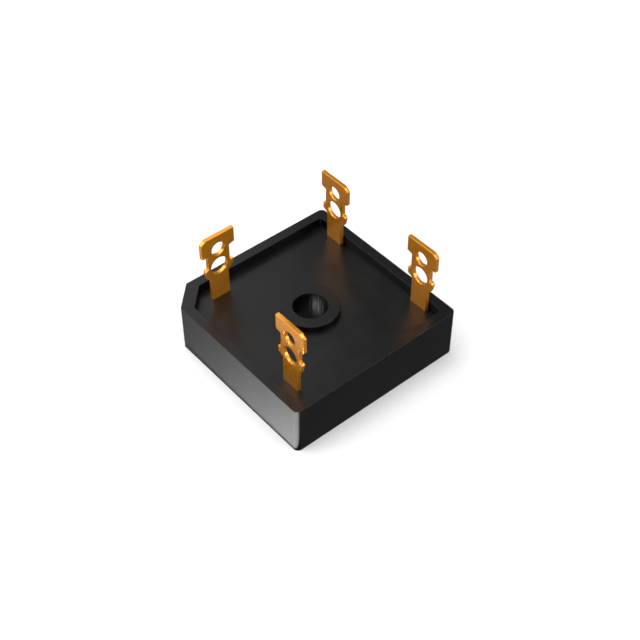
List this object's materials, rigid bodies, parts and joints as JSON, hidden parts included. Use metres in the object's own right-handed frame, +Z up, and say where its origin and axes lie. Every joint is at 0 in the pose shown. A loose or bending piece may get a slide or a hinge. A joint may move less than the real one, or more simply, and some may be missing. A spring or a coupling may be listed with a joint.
{
  "type": "bridge rectifier",
  "caption": "Square potted single-phase bridge rectifier with upright push-on tabs, a screw hole through its middle and a metal base plate.",
  "frame": {"origin": "centre of the flat underside, on the axis of the mounting hole", "axes": "+Z up along the mounting hole, towards the tabs; X and Y along the case's sides, with the chamfered positive corner at -X -Y"},
  "size_m": [0.0286, 0.0286, 0.0177],
  "materials": {
    "case_plastic": "satin black moulded plastic",
    "potting_resin": "satin black cast resin",
    "tab_metal": "polished gold-coloured plating",
    "base_metal": "fine brushed, flat",
    "insulator_sheet": "matt white filled sheet",
    "strap_copper": "bare copper",
    "solder": "dull solder",
    "die_silicon": "dark metallised silicon"
  },
  "bodies": {
    "root": {"case": "case_plastic", "base_plate": "base_metal", "insulator": "insulator_sheet", "potting": "potting_resin", "terminal_positive": "tab_metal", "terminal_negative": "tab_metal", "terminal_ac_1": "tab_metal", "terminal_ac_2": "tab_metal", "terminal_solder_positive": "solder", "terminal_solder_negative": "solder", "terminal_solder_ac_1": "solder", "terminal_solder_ac_2": "solder", "strap_positive": "strap_copper", "strap_negative": "strap_copper", "strap_ac_1": "strap_copper", "strap_ac_2": "strap_copper", "diode_die_1": "die_silicon", "diode_die_2": "die_silicon", "diode_die_3": "die_silicon", "diode_die_4": "die_silicon", "die_solder_lower_1": "solder", "die_solder_lower_2": "solder", "die_solder_lower_3": "solder", "die_solder_lower_4": "solder", "die_solder_upper_1": "solder", "die_solder_upper_2": "solder", "die_solder_upper_3": "solder", "die_solder_upper_4": "solder"}
  },
  "joints": []
}
